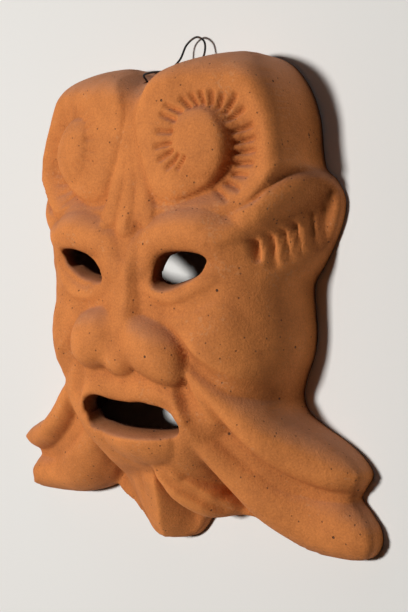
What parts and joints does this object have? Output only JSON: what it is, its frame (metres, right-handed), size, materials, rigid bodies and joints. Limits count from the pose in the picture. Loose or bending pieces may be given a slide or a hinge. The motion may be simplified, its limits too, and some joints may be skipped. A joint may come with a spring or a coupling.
{
  "type": "terracotta mask",
  "caption": "Terracotta wall mask of a bearded satyr with coiled ram's horns, a hollow shell with open eyes and mouth, with a wire hoop at the top to hang it by.",
  "frame": {"origin": "middle of the outline on the plane of the flat rim, with the mask lying on its back", "axes": "+Y up the face towards the horns, +Z out of the face, +X towards the viewer's right"},
  "size_m": [0.2128, 0.237, 0.059],
  "materials": {
    "terracotta": "matte",
    "iron_wire": "dull"
  },
  "bodies": {
    "root": {"mask": "terracotta", "hanging_wire": "iron_wire"}
  },
  "joints": []
}
